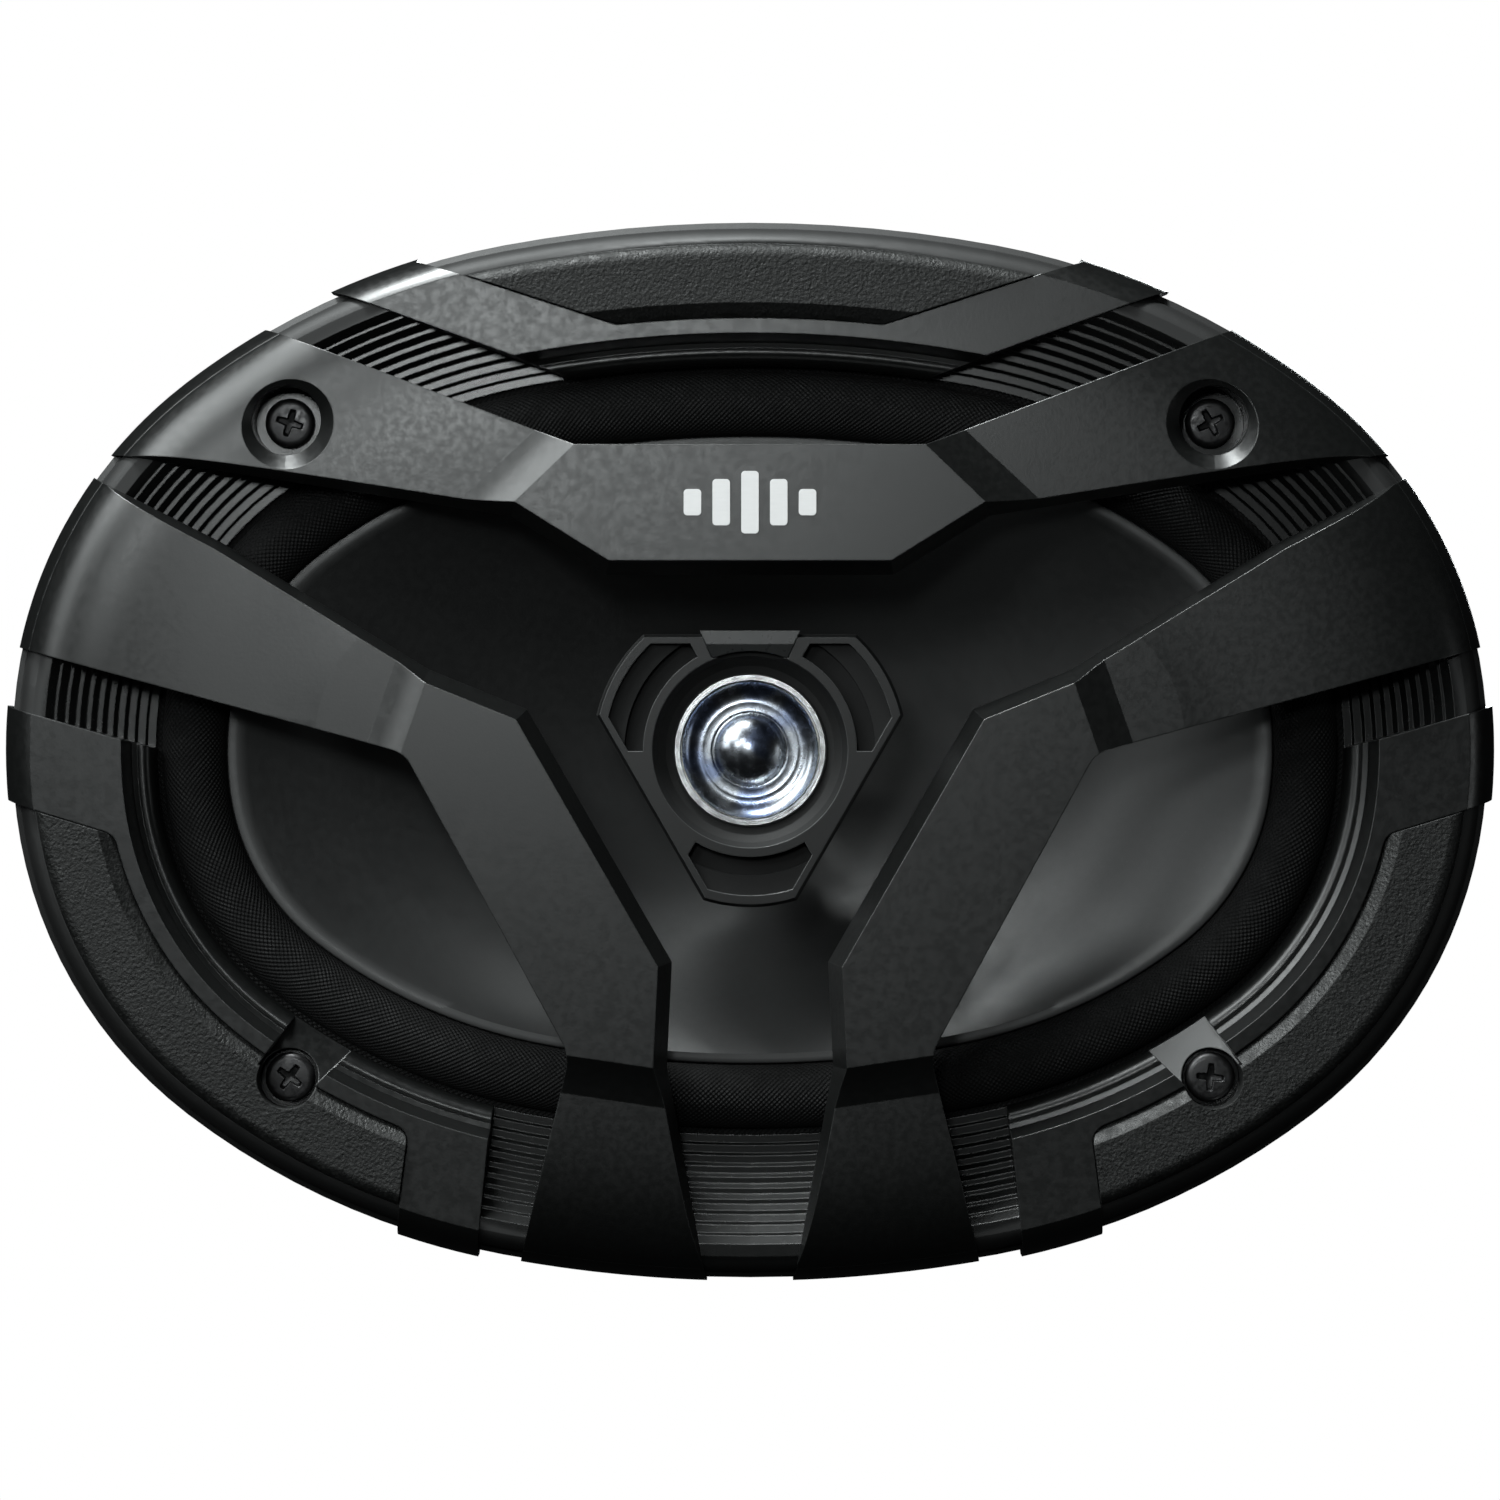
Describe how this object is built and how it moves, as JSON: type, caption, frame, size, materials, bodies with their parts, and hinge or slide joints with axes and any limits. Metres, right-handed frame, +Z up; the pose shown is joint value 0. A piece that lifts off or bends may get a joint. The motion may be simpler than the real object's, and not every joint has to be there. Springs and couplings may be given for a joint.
{
  "type": "coaxial car speaker",
  "caption": "Oval coaxial car loudspeaker with a ribbed trim ring, an open armed cover and a dome tweeter on a post ahead of the woofer cone.",
  "frame": {"origin": "centre of the rectangle of four mounting screws, in the panel face that the gasket seals against", "axes": "-Y out of the front of the speaker, towards the listener; +Z up; +X right as the listener sees it"},
  "size_m": [0.242, 0.1008, 0.172],
  "materials": {
    "trim_ring": "moulded, fine satin grain, ribbed",
    "arms": "moulded, smooth satin",
    "brackets": "moulded, smooth satin",
    "pads": "moulded, coarse sand grain",
    "emblem": "pale printed foil",
    "mounting_screws": "black zinc",
    "mounting_gasket": "closed-cell foam",
    "basket": "black powder coat",
    "surround": "treated woven cloth",
    "cone": "mica-filled polypropylene",
    "dust_ring": "pressed felt",
    "voice_coil_former": "thin rolled foil",
    "copper": "enamelled copper wire",
    "spider": "resin-dipped cotton",
    "zinc_steel": "zinc-plated",
    "ferrite_magnet": "pressed ferrite",
    "tweeter_post": "black",
    "tweeter_plastic": "moulded, fine grain",
    "tweeter_badge": "dark satin plate",
    "tweeter_magnet": "nickel-plated neodymium",
    "tweeter_ring": "bright ring",
    "tweeter_diaphragm": "metal-coated film",
    "tweeter_capacitor": "sleeved can",
    "terminal_board": "moulded",
    "tin_brass": "tinned",
    "tinsel": "woven copper tinsel"
  },
  "bodies": {
    "chassis": {"trim_ring": "trim_ring", "top_arm": "arms", "left_arm": "arms", "right_arm": "arms", "top_bracket": "brackets", "left_bracket": "brackets", "right_bracket": "brackets", "top_pad": "pads", "left_pad": "pads", "right_pad": "pads", "arm_emblem": "emblem", "mounting_screws": "mounting_screws", "mounting_gasket": "mounting_gasket", "basket": "basket", "surround": "surround", "spider": "spider", "top_plate": "zinc_steel", "t_yoke": "zinc_steel", "motor_rivets": "zinc_steel", "post_bolt": "zinc_steel", "ferrite_magnet": "ferrite_magnet", "tweeter_post": "tweeter_post", "tweeter_housing": "tweeter_plastic", "tweeter_pod": "tweeter_plastic", "tweeter_badge": "tweeter_badge", "tweeter_yoke": "zinc_steel", "tweeter_pole_plate": "zinc_steel", "tweeter_magnet": "tweeter_magnet", "tweeter_ring": "tweeter_ring", "tweeter_capacitor": "tweeter_capacitor", "terminal_board": "terminal_board", "positive_terminal": "tin_brass", "negative_terminal": "tin_brass", "left_tinsel_lead": "tinsel", "right_tinsel_lead": "tinsel"},
    "woofer_cone": {"cone": "cone", "dust_ring": "dust_ring", "voice_coil_former": "voice_coil_former", "voice_coil": "copper"},
    "tweeter_dome": {"tweeter_diaphragm": "tweeter_diaphragm", "tweeter_coil": "copper"}
  },
  "joints": [
    {"name": "woofer_excursion", "type": "slide", "parent": "chassis", "child": "woofer_cone", "axis": [0, 1, 0], "range_m": [-0.004, 0.004], "stiffness_N_per_m": 2500, "deforming": ["surround", "spider", "left_tinsel_lead", "right_tinsel_lead"]},
    {"name": "tweeter_excursion", "type": "slide", "parent": "chassis", "child": "tweeter_dome", "axis": [0, 1, 0], "range_m": [-0.0002, 0.0002], "stiffness_N_per_m": 200}
  ]
}
